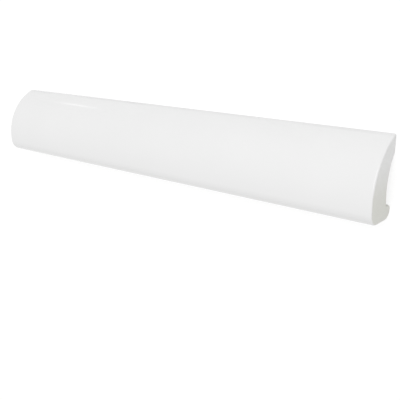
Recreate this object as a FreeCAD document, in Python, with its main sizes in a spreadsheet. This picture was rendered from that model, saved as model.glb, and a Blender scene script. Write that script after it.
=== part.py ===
import FreeCAD, Part
import math
import os

import Sketcher
from FreeCAD import Vector

# Bullnose trim tile, pressed, glazed and fired as one piece of white ceramic.
# It finishes the edge of a tiled wall: the rounded face swells out over the field
# tiles at its lower edge and falls back to the wall in a thin nose at its upper edge.
#
# Frame, in millimetres: the tile lies on its back with the glazed face up. X runs
# along its length, -Y is the edge that sits on the field tiles, +Y is the nose and
# Z = 0 is the wall. The origin is the middle of the back.

SIZES = {
    "tile_length": 200.0,       # end to end, the same as the field tile beside it
    "tile_height": 30.0,        # from the field edge to the tip of the nose
    "tile_depth": 16.0,         # from the wall to the fullest line of the face
    "face_radius": 24.0,        # the long round of the face
    "nose_radius": 0.8,         # the thin tip where the face meets the wall
    "shoulder_radius": 5.5,     # the round between the face and the field edge
    "foot_heel_radius": 3.4,    # the bead at the field edge, its round towards the edge
    "foot_bed_width": 0.2,      # the narrow flat at the bead's crest, against the wall
    "foot_toe_radius": 1.4,     # the bead's round towards the hollow
    "hollow_depth": 4.2,        # from the wall to the hollow's deepest line
    "hollow_share": 0.32,       # how far across the hollow, from the bead, it is deepest
    "hollow_root_radius": 0.5,  # where the hollow runs into the bead
    "bed_width": 6.3,           # the flat strip behind the nose, with the nose
    "bed_edge_radius": 1.0,     # where the strip turns into the hollow
    "arris_radius": 0.6,        # the softened edge round both ends
}

# Places of a sketch constraint on a line or an arc, and the sketch's own origin and X axis.
START, END, CENTRE = range(1, 4)
ORIGIN = (-1, 1)
WALL_LINE = ORIGIN[0]

NODE = "bullnose_tile"


def make_sheet(doc):
    """Put the driving sizes in a spreadsheet, one alias for each."""
    sheet = doc.addObject("Spreadsheet::Sheet", "sizes")
    for row, (alias, value) in enumerate(SIZES.items(), start=1):
        sheet.set("A%d" % row, alias)
        sheet.set("B%d" % row, str(value))
        sheet.setAlias("B%d" % row, alias)
    return sheet


def origin_plane(body, role):
    """Find one of the body's own origin planes."""
    for feature in body.Origin.OriginFeatures:
        if feature.Role == role:
            return feature
    raise RuntimeError("the body has no plane " + role)


def direction(start, end):
    """Angle of the line from one point to another."""
    return math.atan2(end.y - start.y, end.x - start.x)


def arc(centre, radius, first, last):
    """Arc that runs counter-clockwise from one angle to another."""
    circle = Part.Circle(centre, Vector(0, 0, 1), radius)
    return Part.ArcOfCircle(circle, first, last)


def on_arc(centre, radius, angle):
    """Point of a circle at an angle."""
    return centre + Vector(math.cos(angle), math.sin(angle), 0) * radius


def outline_shapes(sheet):
    """Lines and arcs of the section, drawn counter-clockwise from the bed strip.

    Sketch x is the tile's Y and sketch y is its Z. The centres follow from the sizes,
    so that the constraints below find the outline already in place.
    """
    left, right, down = math.pi, 0.0, -math.pi / 2
    half = sheet.tile_height / 2
    nose = Vector(half - sheet.nose_radius, sheet.nose_radius, 0)
    drop = sheet.tile_depth - sheet.face_radius
    reach = sheet.face_radius - sheet.nose_radius
    face = Vector(nose.x - math.sqrt(reach ** 2 - (nose.y - drop) ** 2), drop, 0)
    reach = sheet.face_radius - sheet.shoulder_radius
    shoulder = Vector(sheet.shoulder_radius - half, 0, 0)
    shoulder.y = face.y + math.sqrt(reach ** 2 - (shoulder.x - face.x) ** 2)
    heel = Vector(sheet.foot_heel_radius - half, sheet.foot_heel_radius, 0)
    toe = Vector(heel.x + sheet.foot_bed_width, sheet.foot_toe_radius, 0)
    foot_back = on_arc(toe, sheet.foot_toe_radius, right)
    bed_start = Vector(half - sheet.bed_width, 0, 0)
    bed_edge = bed_start + Vector(0, sheet.bed_edge_radius, 0)
    across = sheet.hollow_share * (bed_start.x - foot_back.x)
    hollow_top = Vector(foot_back.x + across, sheet.hollow_depth, 0)
    run = bed_start.x - hollow_top.x
    hollow_radius = (run ** 2 / sheet.hollow_depth + sheet.hollow_depth) / 2 - sheet.bed_edge_radius
    hollow = hollow_top - Vector(0, hollow_radius, 0)
    reach = hollow_radius - sheet.hollow_root_radius
    root = Vector(foot_back.x + sheet.hollow_root_radius, 0, 0)
    root.y = hollow.y + math.sqrt(reach ** 2 - (root.x - hollow.x) ** 2)

    nose_turn = direction(face, nose)
    shoulder_turn = direction(face, shoulder)
    root_turn = direction(hollow, root)
    bed_turn = direction(hollow, bed_edge)
    return {
        "bed": Part.LineSegment(bed_start, on_arc(nose, sheet.nose_radius, down)),
        "nose": arc(nose, sheet.nose_radius, down, nose_turn),
        "face": arc(face, sheet.face_radius, nose_turn, shoulder_turn),
        "shoulder": arc(shoulder, sheet.shoulder_radius, shoulder_turn, left),
        "field_edge": Part.LineSegment(on_arc(shoulder, sheet.shoulder_radius, left),
                                       on_arc(heel, sheet.foot_heel_radius, left)),
        "heel": arc(heel, sheet.foot_heel_radius, left, left - down),
        "foot_bed": Part.LineSegment(on_arc(heel, sheet.foot_heel_radius, down),
                                     on_arc(toe, sheet.foot_toe_radius, down)),
        "toe": arc(toe, sheet.foot_toe_radius, down, right),
        "foot_side": Part.LineSegment(foot_back, Vector(foot_back.x, root.y, 0)),
        "root": arc(root, sheet.hollow_root_radius, root_turn, left),
        "hollow": arc(hollow, hollow_radius, bed_turn, root_turn),
        "bed_edge": arc(bed_edge, sheet.bed_edge_radius, bed_turn - math.pi, down),
        "hollow_top": Part.Point(hollow_top),
    }


def tie_outline(sketch, at):
    """Join the outline's ends smoothly and set its flats square to the wall."""
    order = ["bed", "nose", "face", "shoulder", "field_edge", "heel", "foot_bed", "toe", "foot_side"]
    for name, following in zip(order, order[1:]):
        sketch.addConstraint(Sketcher.Constraint("Tangent", at[name], END, at[following], START))
    sketch.addConstraint(Sketcher.Constraint("Tangent", at["foot_side"], END, at["root"], END))
    sketch.addConstraint(Sketcher.Constraint("Tangent", at["root"], START, at["hollow"], END))
    sketch.addConstraint(Sketcher.Constraint("Tangent", at["hollow"], START, at["bed_edge"], START))
    sketch.addConstraint(Sketcher.Constraint("Tangent", at["bed_edge"], END, at["bed"], START))
    sketch.addConstraint(Sketcher.Constraint("Horizontal", at["bed"]))
    sketch.addConstraint(Sketcher.Constraint("Vertical", at["field_edge"]))
    sketch.addConstraint(Sketcher.Constraint("Horizontal", at["foot_bed"]))
    sketch.addConstraint(Sketcher.Constraint("Vertical", at["foot_side"]))
    for name in ("bed", "foot_bed"):
        sketch.addConstraint(Sketcher.Constraint("PointOnObject", at[name], START, WALL_LINE))
    deepest = (at["hollow_top"], START)
    sketch.addConstraint(Sketcher.Constraint("PointOnObject", *deepest, at["hollow"]))
    sketch.addConstraint(Sketcher.Constraint("Vertical", *deepest, at["hollow"], CENTRE))


def bind(sketch, name, expression, kind, *places):
    """Add a named dimension whose value comes from the spreadsheet."""
    value = sketch.evalExpression(expression)
    index = sketch.addConstraint(Sketcher.Constraint(kind, *places, value))
    sketch.renameConstraint(index, name)
    sketch.setExpression("Constraints." + name, expression)


def measure_outline(sketch, at):
    """Give the outline its sizes."""
    for name in ("nose", "face", "shoulder"):
        bind(sketch, name + "_size", "sizes.%s_radius" % name, "Radius", at[name])
    bind(sketch, "heel_size", "sizes.foot_heel_radius", "Radius", at["heel"])
    bind(sketch, "toe_size", "sizes.foot_toe_radius", "Radius", at["toe"])
    bind(sketch, "root_size", "sizes.hollow_root_radius", "Radius", at["root"])
    bind(sketch, "bed_edge_size", "sizes.bed_edge_radius", "Radius", at["bed_edge"])
    bind(sketch, "field_edge_place", "sizes.tile_height / 2",
         "DistanceX", at["field_edge"], START, *ORIGIN)
    bind(sketch, "nose_place", "sizes.tile_height / 2 - sizes.nose_radius",
         "DistanceX", *ORIGIN, at["nose"], CENTRE)
    bind(sketch, "face_place", "sizes.tile_depth - sizes.face_radius",
         "DistanceY", *ORIGIN, at["face"], CENTRE)
    bind(sketch, "foot_bed_size", "sizes.foot_bed_width",
         "DistanceX", at["foot_bed"], START, at["foot_bed"], END)
    foot = "sizes.foot_heel_radius - sizes.foot_bed_width - sizes.foot_toe_radius"
    bind(sketch, "hollow_place",
         "sizes.hollow_share * (sizes.tile_height - sizes.bed_width - %s)" % foot,
         "DistanceX", at["foot_side"], START, at["hollow_top"], START)
    bind(sketch, "hollow_size", "sizes.hollow_depth",
         "DistanceY", *ORIGIN, at["hollow_top"], START)
    bind(sketch, "bed_place", "sizes.tile_height / 2 - sizes.bed_width",
         "DistanceX", *ORIGIN, at["bed"], START)


def draw_section(body, sheet):
    """Sketch the section across the tile, in the plane at the middle of its length."""
    sketch = body.newObject("Sketcher::SketchObject", "section")
    sketch.AttachmentSupport = [(origin_plane(body, "YZ_Plane"), "")]
    sketch.MapMode = "FlatFace"
    at = {name: sketch.addGeometry(shape, False) for name, shape in outline_shapes(sheet).items()}
    tie_outline(sketch, at)
    measure_outline(sketch, at)
    return sketch


def end_edges(shape, half_length):
    """Names of the edges round both end faces."""
    near = 0.001
    names = []
    for number, edge in enumerate(shape.Edges, start=1):
        if all(abs(abs(vertex.X) - half_length) < near for vertex in edge.Vertexes):
            if abs(abs(edge.CenterOfMass.x) - half_length) < near:
                names.append("Edge%d" % number)
    return names


def make_tile(doc, sheet):
    """Draw the section along the tile's length, then soften both ends."""
    body = doc.addObject("PartDesign::Body", NODE)
    body.Label = NODE
    sketch = draw_section(body, sheet)
    bar = body.newObject("PartDesign::Pad", "bar")
    bar.Profile = sketch
    bar.SideType = "Symmetric"
    bar.setExpression("Length", "sizes.tile_length")
    doc.recompute()
    arris = body.newObject("PartDesign::Fillet", "arris")
    arris.Base = (bar, end_edges(bar.Shape, sheet.tile_length / 2))
    arris.setExpression("Radius", "sizes.arris_radius")
    body.Tip = arris
    body.Placement = FreeCAD.Placement(Vector(0, 0, 0), FreeCAD.Rotation())
    doc.recompute()
    return body


def check_document(doc):
    """Stop at any object that failed without raising an error."""
    for item in doc.Objects:
        if "Invalid" in item.State or "Error" in item.State:
            raise RuntimeError("%s failed: %s" % (item.Name, item.State))


def write_step(body):
    """Write one sub-part's shape under its label."""
    shape = body.Shape
    if shape.isNull() or not shape.isValid() or len(shape.Solids) != 1:
        raise RuntimeError(body.Label + " isn't one valid solid")
    os.makedirs("parts", exist_ok=True)
    shape.exportStep("parts/%s.step" % body.Label)
    box = shape.optimalBoundingBox(False)
    print("%s: %.1f x %.1f x %.1f mm, %.1f cm3" % (
        body.Label, box.XLength, box.YLength, box.ZLength, shape.Volume / 1000))


doc = FreeCAD.newDocument("bullnose_trim")
sheet = make_sheet(doc)
doc.recompute()
tile = make_tile(doc, sheet)
check_document(doc)
write_step(tile)
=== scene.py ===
"""Bullnose trim tile: a glazed ceramic tile that lies on its back, with its studio stage.

The tile is modelled as a swept section: each flat of the section is an extruded strip
and each round is a spun one, so the surface has the section's true radii. The ends are
then capped and softened, the glazed face gets the slight swell of melted glaze, and one
material gives the surface its glaze and its bare clay.
"""

import math

import bmesh
import bpy
from bpy.props import FloatProperty, FloatVectorProperty, IntProperty, PointerProperty
from bpy.types import NodeSocket, Operator, Panel, PropertyGroup
from mathutils import Matrix, Vector


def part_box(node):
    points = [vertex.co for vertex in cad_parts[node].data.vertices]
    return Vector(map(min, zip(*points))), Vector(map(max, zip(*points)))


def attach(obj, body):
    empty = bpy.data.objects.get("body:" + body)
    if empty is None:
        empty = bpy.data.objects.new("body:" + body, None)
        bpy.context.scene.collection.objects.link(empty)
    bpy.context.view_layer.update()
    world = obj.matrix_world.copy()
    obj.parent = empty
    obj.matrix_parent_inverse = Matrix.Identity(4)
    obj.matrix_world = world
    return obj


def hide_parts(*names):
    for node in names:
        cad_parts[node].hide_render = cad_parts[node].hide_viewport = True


bl_info = {
    "name": "Bullnose trim tile",
    "version": (1, 0, 0),
    "blender": (4, 5, 0),
    "location": "View3D > Sidebar > Tile",
    "description": "Builds a glazed bullnose trim tile and a plain studio round it",
    "category": "Object",
}

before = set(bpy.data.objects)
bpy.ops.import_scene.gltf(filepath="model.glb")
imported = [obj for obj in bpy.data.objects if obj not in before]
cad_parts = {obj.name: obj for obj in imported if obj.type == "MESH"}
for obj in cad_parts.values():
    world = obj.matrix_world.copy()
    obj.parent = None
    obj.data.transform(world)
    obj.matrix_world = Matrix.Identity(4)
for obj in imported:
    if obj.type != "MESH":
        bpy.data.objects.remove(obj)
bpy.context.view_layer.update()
TILE_NODE = "bullnose_tile"
TILE_LOW, TILE_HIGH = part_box(TILE_NODE)

MM = 0.001

# Places that are closer than this count as one.
NEAR = 0.01 * MM

# An edge that turns by more than this stays sharp.
SMOOTH_ANGLE = math.radians(30)

# Sockets of a Mix node, which has one pair for values and another for colours.
VALUE_A, VALUE_B = 2, 3
COLOUR_A, COLOUR_B, COLOUR_OUT = 6, 7, 2


def linear(hex_colour):
    """Linear red, green and blue of an sRGB hex colour."""
    parts = [int(hex_colour[i:i + 2], 16) / 255 for i in (0, 2, 4)]
    return [p / 12.92 if p <= 0.04045 else ((p + 0.055) / 1.055) ** 2.4 for p in parts]


def length(name, description, millimetres):
    """A size that a user can change, shown as a length."""
    return FloatProperty(name=name, description=description, default=millimetres * MM,
                         unit="LENGTH", precision=4)


def share(name, description, value):
    """A part of a whole that a user can change, from 0 to 1."""
    return FloatProperty(name=name, description=description, default=value,
                         subtype="FACTOR", min=0, max=1)


def colour(name, description, hex_colour):
    """A colour that a user can change."""
    return FloatVectorProperty(name=name, description=description, subtype="COLOR", size=3,
                               min=0, max=1, default=linear(hex_colour))


def turn(name, description, degrees):
    """An angle that a user can change."""
    return FloatProperty(name=name, description=description, subtype="ANGLE",
                         default=math.radians(degrees))


def spot(name, description, place):
    """A place that a user can change, in metres."""
    return FloatVectorProperty(name=name, description=description, subtype="TRANSLATION",
                               default=place)


def power(name, description, watts):
    """A lamp's power that a user can change."""
    return FloatProperty(name=name, description=description, unit="POWER", default=watts)


class TileSizes(PropertyGroup):
    """Real sizes of the tile and of its section."""
    long: length("Length", "End to end", (TILE_HIGH.x - TILE_LOW.x) / MM)
    high: length("Height", "Field edge to nose", (TILE_HIGH.y - TILE_LOW.y) / MM)
    deep: length("Depth", "Wall to the fullest line of the face", TILE_HIGH.z / MM)
    face: length("Face radius", "Long round of the face", 24.0)
    nose: length("Nose radius", "Thin tip at the wall", 0.8)
    shoulder: length("Shoulder radius", "Round between face and field edge", 5.5)
    heel: length("Heel radius", "Outer round of the bead", 3.4)
    foot: length("Foot width", "Flat crest of the bead", 0.2)
    toe: length("Toe radius", "Inner round of the bead", 1.4)
    hollow_depth: length("Hollow depth", "Deepest line of the hollow", 4.2)
    hollow_share: share("Hollow share", "How far across the hollow it is deepest", 0.32)
    root: length("Root radius", "Where the hollow runs into the bead", 0.5)
    bed: length("Bed width", "Flat strip behind the nose, with the nose", 6.3)
    bed_edge: length("Bed edge radius", "Where the strip turns into the hollow", 1.0)
    arris: length("Arris radius", "Softened edge round both ends", 0.6)
    columns: IntProperty(name="Columns", description="Strips along the length", default=100)
    facet: length("Facet", "Width of a strip on a round", 0.5)


class TileFinish(PropertyGroup):
    """Colours and grain of the glaze and of the bare clay, and where the glaze ends."""
    glaze: colour("Glaze", "Opaque white glaze", "EFEFEF")
    clay: colour("Clay", "Bare fired clay of the ends and the back", "E6E6E0")
    gloss: share("Glaze roughness", "Low for a mirror gloss, high for a matt glaze", 0.1)
    matt: share("Clay roughness", "Fired clay scatters nearly all its light", 0.85)
    coat: length("Glaze coat", "How thick the glaze lies on the clay", 0.11)
    swell: length("Glaze swell", "How much the melted glaze rises and sinks", 0.06)
    waves: length("Waves", "Width of the waves in which the glaze swells", 22)
    reach: length("Glaze reach", "How far the glaze goes over the edge of an end", 0.45)
    stray: length("Glaze stray", "How far the glaze's edge wanders", 0.3)
    line: length("Glaze line", "Height above the wall where the glaze stops at the edge", 6.0)
    # The thin line along the nose is painted darker: partly thin glaze, and partly painted shade
    # of the nose's edge.
    thin: length("Thin line", "Width of the thin glaze along the nose", 0.8)
    clouds: length("Clouds", "Width of the faint clouds in the glaze", 25)
    peel: length("Peel", "Width of the ripples of the glaze", 2.5)
    grain: length("Grain", "Width of the clay's grains", 0.5)
    pinholes: length("Pinholes", "Space between the clay's pinholes", 1.6)


class StudioSettings(PropertyGroup):
    """Camera and lights."""
    focal: FloatProperty(name="Focal length", description="In picture widths", default=1.54)
    camera_turn: turn("Camera's turn", "Round the tile's height, to the right end", 39.06)
    camera_dip: turn("Camera's dip", "Down towards the field edge", 16.77)
    camera_place: spot("Camera's place", "Over the right end", (0.1776, 0.0533, 0.2009))
    key_place: spot("Key lamp", "Soft box high up on the nose's side", (0.25, 0.47, 0.76))
    key_side: length("Key lamp's side", "Width and height of the soft box", 600)
    key_power: power("Key lamp's power", "Gives the face its slight gradation", 2.35)
    low_place: spot("Low lamp", "Small strip box beyond the left end", (-0.771, 0.62, 0.015))
    low_width: length("Low lamp's width", "Makes the streak on the gloss long", 60)
    low_height: length("Low lamp's height", "Makes the streak on the gloss thick", 30)
    low_power: power("Low lamp's power", "Gives the streak on the gloss at the left end", 0.0105)
    sky: share("Surroundings", "Strength of the even light from all round", 0.77)


def select_vertices(test):
    """Select the vertices of the mesh in edit mode whose place passes, and what they close."""
    bpy.ops.mesh.select_all(action="DESELECT")
    mesh = bmesh.from_edit_mesh(bpy.context.edit_object.data)
    for vertex in mesh.verts:
        vertex.select = test(vertex.co)
    mesh.select_flush(True)
    bmesh.update_edit_mesh(bpy.context.edit_object.data)


class SectionPen:
    """Draws the section as strips along the tile, as extruded flats and spun rounds."""

    def __init__(self, sizes):
        self.sizes = sizes
        self.at = Vector((0, 0, 0))

    def select_row(self):
        """Select the row of edges at the pen."""
        select_vertices(lambda place: (place.yz - self.at.yz).length < NEAR)

    def begin(self, y, z, to_y):
        """Lay the first flat as a grid, from one place to another at the same level."""
        sizes = self.sizes
        bpy.ops.mesh.primitive_grid_add(x_subdivisions=sizes.columns, y_subdivisions=1, size=1,
                                        enter_editmode=True)
        bpy.ops.transform.resize(value=(sizes.long, to_y - y, 1))
        bpy.ops.transform.translate(value=(0, (y + to_y) / 2, z))
        self.at = Vector((0, to_y, z))

    def flat(self, y, z):
        """Extrude the row to a new place."""
        self.select_row()
        move = Vector((0, y, z)) - self.at
        bpy.ops.mesh.extrude_region_move(TRANSFORM_OT_translate={"value": move})
        self.at = self.at + move

    def spin(self, centre, angle):
        """Spin the row about an axis along the tile. A positive angle turns +Y to +Z."""
        self.select_row()
        arm = self.at - centre
        fewest_steps = 6
        steps = max(fewest_steps, round(abs(angle) * arm.length / self.sizes.facet))
        bpy.ops.mesh.spin(steps=steps, angle=angle, center=centre, axis=(-1, 0, 0))
        self.at = centre + Matrix.Rotation(angle, 3, "X") @ arm


def turn_of(start, end):
    """Angle of the line from one point to another, in the section."""
    return math.atan2(end.z - start.z, end.y - start.y)


def inner_centre(outer, outer_radius, radius, y):
    """Centre of a round that touches a larger one from inside, at a given Y."""
    reach = outer_radius - radius
    return Vector((0, y, outer.z + math.sqrt(reach ** 2 - (y - outer.y) ** 2)))


def face_centre(sizes):
    """Centre of the long round of the face, in the section."""
    z = sizes.deep - sizes.face
    reach = math.sqrt((sizes.face - sizes.nose) ** 2 - (sizes.nose - z) ** 2)
    return Vector((0, sizes.high / 2 - sizes.nose - reach, z))


def shoulder_centre(sizes):
    """Centre of the round between the face and the field edge, in the section."""
    y = sizes.shoulder - sizes.high / 2
    return inner_centre(face_centre(sizes), sizes.face, sizes.shoulder, y)


def sweep_section(sizes):
    """Model the skin of the tile, round its section from the bed strip."""
    half = sizes.high / 2
    face = face_centre(sizes)
    nose = Vector((0, half - sizes.nose, sizes.nose))
    shoulder = shoulder_centre(sizes)
    heel = Vector((0, sizes.heel - half, sizes.heel))
    toe = Vector((0, heel.y + sizes.foot, sizes.toe))
    bead_side = toe.y + sizes.toe
    bed_edge = Vector((0, half - sizes.bed, sizes.bed_edge))
    hollow = Vector((0, bead_side + sizes.hollow_share * (bed_edge.y - bead_side), 0))
    run = bed_edge.y - hollow.y
    hollow_radius = (run ** 2 / sizes.hollow_depth + sizes.hollow_depth) / 2 - sizes.bed_edge
    hollow.z = sizes.hollow_depth - hollow_radius
    root = inner_centre(hollow, hollow_radius, sizes.root, bead_side + sizes.root)

    nose_turn = turn_of(face, nose)
    shoulder_turn = turn_of(face, shoulder)
    root_turn = turn_of(hollow, root)
    bed_turn = turn_of(hollow, bed_edge)
    square = math.pi / 2

    pen = SectionPen(sizes)
    pen.begin(bed_edge.y, 0, nose.y)
    pen.spin(nose, nose_turn + square)
    pen.spin(face, shoulder_turn - nose_turn)
    pen.spin(shoulder, math.pi - shoulder_turn)
    pen.flat(-half, heel.z)
    pen.spin(heel, square)
    pen.flat(toe.y, 0)
    pen.spin(toe, square)
    pen.flat(bead_side, root.z)
    pen.spin(root, root_turn - math.pi)
    pen.spin(hollow, bed_turn - root_turn)
    pen.spin(bed_edge, square - bed_turn)


def cap_end(side, sizes):
    """Close one end with a face and soften the edge round it."""
    def at_end(place):
        return abs(place.x - side * sizes.long / 2) < NEAR

    select_vertices(at_end)
    bpy.ops.mesh.edge_face_add()
    bpy.ops.mesh.bevel(offset=sizes.arris, offset_type="OFFSET", segments=4, profile=0.5,
                       affect="EDGES", clamp_overlap=False)

    # A narrow rim keeps the flat of the end from shading like the round beside it.
    rim = 0.1 * MM
    select_vertices(at_end)
    bpy.ops.mesh.inset(thickness=rim, depth=0)


def close_skin(sizes):
    """Join the last row to the first, close both ends and turn all faces outwards."""
    bpy.ops.mesh.select_all(action="SELECT")
    bpy.ops.mesh.remove_doubles(threshold=NEAR)
    for side in (-1, 1):
        cap_end(side, sizes)
    bpy.ops.mesh.select_all(action="SELECT")
    bpy.ops.mesh.normals_make_consistent(inside=False)
    mesh = bmesh.from_edit_mesh(bpy.context.edit_object.data)
    if not all(edge.is_manifold for edge in mesh.edges):
        raise RuntimeError("the tile's skin isn't closed with these sizes")


def swell_glaze(tile, sizes, finish):
    """Let the glazed face sink unevenly, as glaze does when it melts.

    The waves fade out where the face turns to the nose and to the field edge, and leave
    the ends as they are.
    """
    # The upward part of the normal where the waves begin, and where they are full.
    fade_from, fade_to = 0.35, 0.68

    # The part of it along the tile where an end begins.
    end_turn = 0.05
    group = tile.vertex_groups.new(name="glazed_face")
    for vertex in tile.data.vertices:
        on_face = vertex.co.z > sizes.nose and abs(vertex.normal.x) < end_turn
        weight = (vertex.normal.z - fade_from) / (fade_to - fade_from)
        group.add([vertex.index], min(1, max(0, weight)) if on_face else 0, "REPLACE")
    clouds = bpy.data.textures.new("glaze_swell", "CLOUDS")
    clouds.noise_scale = finish.waves
    waves = tile.modifiers.new("glaze_waves", "DISPLACE")
    waves.texture = clouds
    waves.texture_coords = "LOCAL"
    waves.mid_level = 1
    waves.strength = finish.swell
    waves.vertex_group = group.name
    bpy.ops.object.modifier_apply(modifier=waves.name)
    tile.vertex_groups.clear()


def add_node(tree, kind, inputs=None, **settings):
    """Add a node with its settings. An input is linked if it is given a socket, or else set."""
    node = tree.nodes.new(kind)
    for name, value in settings.items():
        setattr(node, name, value)
    for name, value in (inputs or {}).items():
        if isinstance(value, NodeSocket):
            tree.links.new(value, node.inputs[name])
        else:
            node.inputs[name].default_value = value
    return node


def tone(rgb, brightness=1.0):
    """A colour with its alpha, at a share of its brightness."""
    return [part * brightness for part in rgb] + [1]


def new_material(name):
    """An empty node material and its tree."""
    material = bpy.data.materials.new(name)
    material.use_nodes = True
    material.node_tree.nodes.clear()
    return material, material.node_tree


def add_glaze_mask(tree, place, axes, sizes, finish):
    """Add the nodes that tell glaze, 1, from bare clay, 0.

    The glaze covers the face, the rounded shoulder and the upper part of the field edge. It
    rolls over the softened edges of the ends and stops a little way down, in a line that
    wanders.
    """
    # How deep a place lies under the long round of the face.
    section = add_node(tree, "ShaderNodeVectorMath", {0: place, 1: (0, 1, 1)},
                       operation="MULTIPLY").outputs[0]
    from_face = add_node(tree, "ShaderNodeVectorMath", {0: section, 1: face_centre(sizes)},
                         operation="DISTANCE").outputs["Value"]
    under_face = add_node(tree, "ShaderNodeMath", {0: sizes.face, 1: from_face},
                          operation="SUBTRACT").outputs[0]

    # How deep it lies behind the shoulder and the field edge.
    shoulder = shoulder_centre(sizes)
    outward = add_node(tree, "ShaderNodeVectorMath",
                       {0: place, 1: (0, -1, 1), 2: (0, shoulder.y, -shoulder.z)},
                       operation="MULTIPLY_ADD").outputs[0]
    outward = add_node(tree, "ShaderNodeVectorMath", {0: outward, 1: (0, 0, 0)},
                       operation="MAXIMUM").outputs[0]
    from_shoulder = add_node(tree, "ShaderNodeVectorMath", {0: outward},
                             operation="LENGTH").outputs["Value"]
    under_shoulder = add_node(tree, "ShaderNodeMath", {0: sizes.shoulder, 1: from_shoulder},
                              operation="SUBTRACT").outputs[0]
    under = add_node(tree, "ShaderNodeMath", {0: under_face, 1: under_shoulder},
                     operation="MINIMUM").outputs[0]
    past_reach = add_node(tree, "ShaderNodeMath", {0: under, 1: finish.reach},
                          operation="SUBTRACT").outputs[0]

    # How far it lies below the glaze line, which only the side of the field edge has.
    below = add_node(tree, "ShaderNodeMath", {0: finish.line, 1: axes["Z"]},
                     operation="SUBTRACT").outputs[0]
    edge_side = add_node(tree, "ShaderNodeMath", {0: shoulder.y, 1: axes["Y"]},
                         operation="SUBTRACT").outputs[0]
    past_line = add_node(tree, "ShaderNodeMath", {0: below, 1: edge_side},
                         operation="MINIMUM").outputs[0]

    # The glaze's edge wanders, with a bend every few millimetres, and is a little soft.
    bend, half_soft = 4 * MM, 0.1 * MM
    past_glaze = add_node(tree, "ShaderNodeMath", {0: past_reach, 1: past_line},
                          operation="MAXIMUM").outputs[0]
    bends = add_node(tree, "ShaderNodeTexNoise",
                     {"Vector": place, "Scale": 1 / bend, "Detail": 3}).outputs["Fac"]
    bends = add_node(tree, "ShaderNodeMapRange",
                     {"Value": bends, "From Min": 0.2, "From Max": 0.8,
                      "To Min": -finish.stray, "To Max": finish.stray}).outputs["Result"]
    past_glaze = add_node(tree, "ShaderNodeMath", {0: past_glaze, 1: bends},
                          operation="ADD").outputs[0]
    return add_node(tree, "ShaderNodeMapRange",
                    {"Value": past_glaze, "From Min": half_soft, "From Max": -half_soft},
                    interpolation_type="SMOOTHSTEP").outputs["Result"]


def add_glaze(tree, place, axes, sizes, finish):
    """Add the nodes of the glaze, and give its colour and its height.

    It is opaque white with faint clouds and the ripple of an orange's peel. It drew back
    from the sharp nose, where it is thin and painted less white, in a line that fades in
    and out. That darker line is partly the thin glaze and partly painted shade, which
    stands in for the nose's edge turning away from the light.
    """
    # Faint clouds, and the line along the nose, whose darker tone is partly thin glaze and
    # partly painted shade.
    cloud_shade, thin_glaze_painted_shade = 0.985, 0.89
    ripple_height = 0.008 * MM
    milk = add_node(tree, "ShaderNodeTexNoise",
                    {"Vector": place, "Scale": 1 / finish.clouds, "Detail": 2}).outputs["Fac"]
    milk = add_node(tree, "ShaderNodeMapRange",
                    {"Value": milk, "From Min": 0.25, "From Max": 0.75}).outputs["Result"]
    white = add_node(tree, "ShaderNodeMix",
                     {0: milk, COLOUR_A: tone(finish.glaze, cloud_shade),
                      COLOUR_B: tone(finish.glaze)},
                     data_type="RGBA").outputs[COLOUR_OUT]
    # A line along the nose is painted darker: partly thin glaze, and partly painted shade for
    # the nose's edge turning away from the light.
    nose_tip = sizes.high / 2
    thin = add_node(tree, "ShaderNodeMapRange",
                    {"Value": axes["Y"], "From Min": nose_tip - finish.thin,
                     "From Max": nose_tip - finish.thin / 2},
                    interpolation_type="SMOOTHSTEP").outputs["Result"]
    thin = add_node(tree, "ShaderNodeMath", {0: thin, 1: milk}, operation="MULTIPLY").outputs[0]
    white = add_node(tree, "ShaderNodeMix",
                     {0: thin, COLOUR_A: white, COLOUR_B: tone(finish.glaze, thin_glaze_painted_shade)},
                     data_type="RGBA").outputs[COLOUR_OUT]

    ripple = add_node(tree, "ShaderNodeTexNoise",
                      {"Vector": place, "Scale": 1 / finish.peel, "Detail": 1}).outputs["Fac"]
    height = add_node(tree, "ShaderNodeMath", {0: ripple, 1: ripple_height, 2: finish.coat},
                      operation="MULTIPLY_ADD").outputs[0]
    return white, height


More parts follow.
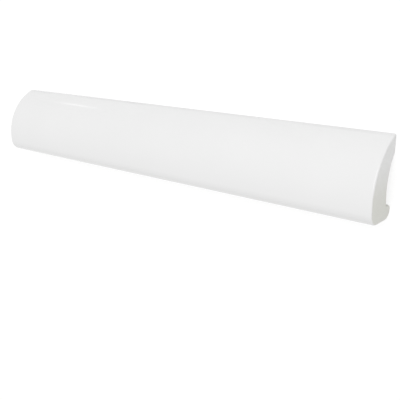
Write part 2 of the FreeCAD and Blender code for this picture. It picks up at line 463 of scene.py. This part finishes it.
def add_clay(tree, place, axes, finish):
    """Add the nodes of the bare clay, and give its colour and its height.

    It is a little warmer than the glaze and finely grained, with pinholes. The ends are
    painted paler towards the nose, partly as a mist of sprayed glaze and partly as painted
    light for ends that are lit more on the nose's side. The real grains are finer than
    these, which are as wide as they need to be to show.
    """
    # The floor and the rim of a pinhole, as shares of the space between two of them.
    pit, rim = 0.06, 0.14
    # How far and how much the ends are painted paler towards the nose: partly glaze mist and
    # partly painted light.
    grain_shade, most_painted_light_mist = 0.94, 0.9
    painted_light_mist_start, painted_light_mist_end = -9 * MM, 7 * MM
    relief = 0.055 * MM
    grain = add_node(tree, "ShaderNodeTexNoise",
                     {"Vector": place, "Scale": 1 / finish.grain, "Detail": 4,
                      "Roughness": 0.7}).outputs["Fac"]
    level = add_node(tree, "ShaderNodeTexVoronoi",
                     {"Vector": place, "Scale": 1 / finish.pinholes}).outputs["Distance"]
    level = add_node(tree, "ShaderNodeMapRange",
                     {"Value": level, "From Min": pit, "From Max": rim},
                     interpolation_type="SMOOTHSTEP").outputs["Result"]
    pale = add_node(tree, "ShaderNodeMapRange",
                    {"Value": grain, "From Min": 0.3, "From Max": 0.7},
                    interpolation_type="SMOOTHSTEP").outputs["Result"]
    pale = add_node(tree, "ShaderNodeMath", {0: pale, 1: level}, operation="MULTIPLY").outputs[0]
    bare = add_node(tree, "ShaderNodeMix",
                    {0: pale, COLOUR_A: tone(finish.clay, grain_shade),
                     COLOUR_B: tone(finish.clay)},
                    data_type="RGBA").outputs[COLOUR_OUT]
    # The ends are painted paler towards the nose, up to most of the glaze's white: partly a mist
    # of sprayed glaze, and partly painted light for ends lit more on the nose's side.
    painted_light_mist = add_node(tree, "ShaderNodeMapRange",
                    {"Value": axes["Y"], "From Min": painted_light_mist_start, "From Max": painted_light_mist_end,
                     "To Max": most_painted_light_mist},
                    interpolation_type="SMOOTHSTEP").outputs["Result"]
    bare = add_node(tree, "ShaderNodeMix",
                    {0: painted_light_mist, COLOUR_A: bare, COLOUR_B: tone(finish.glaze)},
                    data_type="RGBA").outputs[COLOUR_OUT]

    height = add_node(tree, "ShaderNodeMath", {0: level, 1: grain}, operation="ADD").outputs[0]
    height = add_node(tree, "ShaderNodeMath", {0: height, 1: relief},
                      operation="MULTIPLY").outputs[0]
    return bare, height


def glazed_clay(sizes, finish):
    """Gloss white glaze, sprayed and melted on a body of pressed, biscuit-fired clay.

    The eye gets a smooth white gloss that ends in a soft, slightly wandering edge, and
    beyond it a matt and grainy body.
    """
    material, tree = new_material("Gloss white glaze on biscuit clay")
    place = add_node(tree, "ShaderNodeTexCoord").outputs["Object"]
    axes = add_node(tree, "ShaderNodeSeparateXYZ", {0: place}).outputs
    glazed = add_glaze_mask(tree, place, axes, sizes, finish)
    white, glaze_height = add_glaze(tree, place, axes, sizes, finish)
    bare, clay_height = add_clay(tree, place, axes, finish)
    paint = add_node(tree, "ShaderNodeMix", {0: glazed, COLOUR_A: bare, COLOUR_B: white},
                     data_type="RGBA").outputs[COLOUR_OUT]
    roughness = add_node(tree, "ShaderNodeMix",
                         {0: glazed, VALUE_A: finish.matt, VALUE_B: finish.gloss}).outputs[0]
    height = add_node(tree, "ShaderNodeMix",
                      {0: glazed, VALUE_A: clay_height, VALUE_B: glaze_height}).outputs[0]
    bumps = add_node(tree, "ShaderNodeBump", {"Height": height, "Distance": 1}).outputs["Normal"]
    surface = add_node(tree, "ShaderNodeBsdfPrincipled",
                       {"Base Color": paint, "Roughness": roughness, "IOR": 1.5,
                        "Normal": bumps}).outputs["BSDF"]
    add_node(tree, "ShaderNodeOutputMaterial", {"Surface": surface})
    return material


class TILE_OT_add_tile(Operator):
    """Model the bullnose tile and give it its glaze"""
    bl_idname = "tile.add_tile"
    bl_label = "Add tile"

    def execute(self, context):
        sizes, finish = context.scene.tile_sizes, context.scene.tile_finish
        bpy.ops.object.select_all(action="DESELECT")
        sweep_section(sizes)
        tile = context.edit_object
        tile.name = "tile_body"
        close_skin(sizes)
        bpy.ops.object.mode_set(mode="OBJECT")
        swell_glaze(tile, sizes, finish)
        bpy.ops.object.shade_smooth_by_angle(angle=SMOOTH_ANGLE)
        tile.data.materials.append(glazed_clay(sizes, finish))
        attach(tile, "root")
        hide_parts(TILE_NODE)
        return {"FINISHED"}


def add_sight_test(tree):
    """Add the nodes that give 1 where a thing is seen, itself, in gloss or through glass."""
    path = add_node(tree, "ShaderNodeLightPath").outputs
    gloss_or_glass = add_node(tree, "ShaderNodeMath",
                              {0: path["Is Glossy Ray"], 1: path["Is Transmission Ray"]},
                              operation="MAXIMUM").outputs[0]
    return add_node(tree, "ShaderNodeMath", {0: path["Is Camera Ray"], 1: gloss_or_glass},
                    operation="MAXIMUM").outputs[0]


def pale_floor(sky):
    """Matt off-white floor paint, which is seen as white with a faint shadow of the tile.

    What is seen of it is mostly a glow, which no shadow darkens, and for the rest lit paint.
    """
    material, tree = new_material("Matt white floor")
    seen = add_sight_test(tree)
    paint = add_node(tree, "ShaderNodeBsdfDiffuse", {"Color": tone(linear("E2E2E2"))}).outputs[0]
    lit_share = 0.3
    lit = add_node(tree, "ShaderNodeBsdfDiffuse", {"Color": tone([lit_share] * 3)}).outputs[0]
    glow = add_node(tree, "ShaderNodeEmission", {"Strength": 1 - lit_share * sky}).outputs[0]
    white = add_node(tree, "ShaderNodeAddShader", {0: lit, 1: glow}).outputs[0]
    both = add_node(tree, "ShaderNodeMixShader", {0: seen, 1: paint, 2: white}).outputs[0]
    add_node(tree, "ShaderNodeOutputMaterial", {"Surface": both})
    return material


def light_world(world, sky):
    """Even surroundings, which are seen as white and light the tile a little less."""
    world.use_nodes = True
    tree = world.node_tree
    tree.nodes.clear()
    seen = add_sight_test(tree)
    strength = add_node(tree, "ShaderNodeMix", {0: seen, VALUE_A: sky, VALUE_B: 1.0}).outputs[0]
    air = add_node(tree, "ShaderNodeBackground",
                   {"Color": (1, 1, 1, 1), "Strength": strength}).outputs[0]
    add_node(tree, "ShaderNodeOutputWorld", {"Surface": air})


def add_soft_box(name, place, width, height, watts):
    """Soft lamp with a face of the given width and height, which is turned to the tile."""
    bpy.ops.object.light_add(type="AREA", location=place)
    lamp = bpy.context.active_object
    lamp.name = name
    lamp.data.shape = "RECTANGLE"
    lamp.data.size = width
    lamp.data.size_y = height
    lamp.data.energy = watts
    lamp.rotation_euler = (-lamp.location).to_track_quat("-Z", "Y").to_euler()


def add_camera(studio):
    """Camera that looks down on the tile, turned so that the nose is at the top."""
    bpy.ops.object.camera_add()
    camera = bpy.context.active_object
    camera.name = "photo_camera"
    turn_sine, turn_cosine = math.sin(studio.camera_turn), math.cos(studio.camera_turn)
    dip_sine, dip_cosine = math.sin(studio.camera_dip), math.cos(studio.camera_dip)
    right = Vector((turn_cosine, 0, -turn_sine))
    back = Vector((turn_sine * dip_cosine, dip_sine, turn_cosine * dip_cosine))
    placed = Matrix((right, back.cross(right), back)).transposed().to_4x4()
    placed.translation = Vector(studio.camera_place)
    camera.matrix_world = placed
    camera.data.lens = camera.data.sensor_width * studio.focal
    nearest_seen = 10 * MM
    camera.data.clip_start = nearest_seen
    return camera


class TILE_OT_add_studio(Operator):
    """Add the floor, the soft lights and the camera"""
    bl_idname = "tile.add_studio"
    bl_label = "Add studio"

    def execute(self, context):
        scene = context.scene
        studio = scene.tile_studio
        floor_side = 6
        bpy.ops.object.select_all(action="DESELECT")
        bpy.ops.mesh.primitive_plane_add(size=floor_side)
        floor = context.active_object
        floor.name = "studio_floor"
        floor.data.materials.append(pale_floor(studio.sky))
        scene.world = bpy.data.worlds.new("White surroundings")
        light_world(scene.world, studio.sky)
        add_soft_box("key_soft_box", studio.key_place, studio.key_side, studio.key_side,
                     studio.key_power)
        add_soft_box("low_strip_box", studio.low_place, studio.low_width, studio.low_height,
                     studio.low_power)
        scene.camera = add_camera(studio)
        scene.view_settings.view_transform = "Standard"
        return {"FINISHED"}


class TILE_PT_panel(Panel):
    """Lists what the tile and its studio are made with"""
    bl_idname = "TILE_PT_panel"
    bl_label = "Bullnose trim tile"
    bl_space_type = "VIEW_3D"
    bl_region_type = "UI"
    bl_category = "Tile"

    def draw(self, context):
        scene = context.scene
        for group in (scene.tile_sizes, scene.tile_finish, scene.tile_studio):
            for name in group.__annotations__:
                self.layout.prop(group, name)
        self.layout.operator(TILE_OT_add_tile.bl_idname)
        self.layout.operator(TILE_OT_add_studio.bl_idname)


CLASSES = (TileSizes, TileFinish, StudioSettings, TILE_OT_add_tile, TILE_OT_add_studio,
           TILE_PT_panel)


def register():
    for item in CLASSES:
        bpy.utils.register_class(item)
    bpy.types.Scene.tile_sizes = PointerProperty(type=TileSizes)
    bpy.types.Scene.tile_finish = PointerProperty(type=TileFinish)
    bpy.types.Scene.tile_studio = PointerProperty(type=StudioSettings)


def unregister():
    del bpy.types.Scene.tile_studio
    del bpy.types.Scene.tile_finish
    del bpy.types.Scene.tile_sizes
    for item in reversed(CLASSES):
        bpy.utils.unregister_class(item)


def main():
    """Model the tile and its studio."""
    register()
    bpy.ops.tile.add_tile()
    bpy.ops.tile.add_studio()


if __name__ == "__main__":
    main()
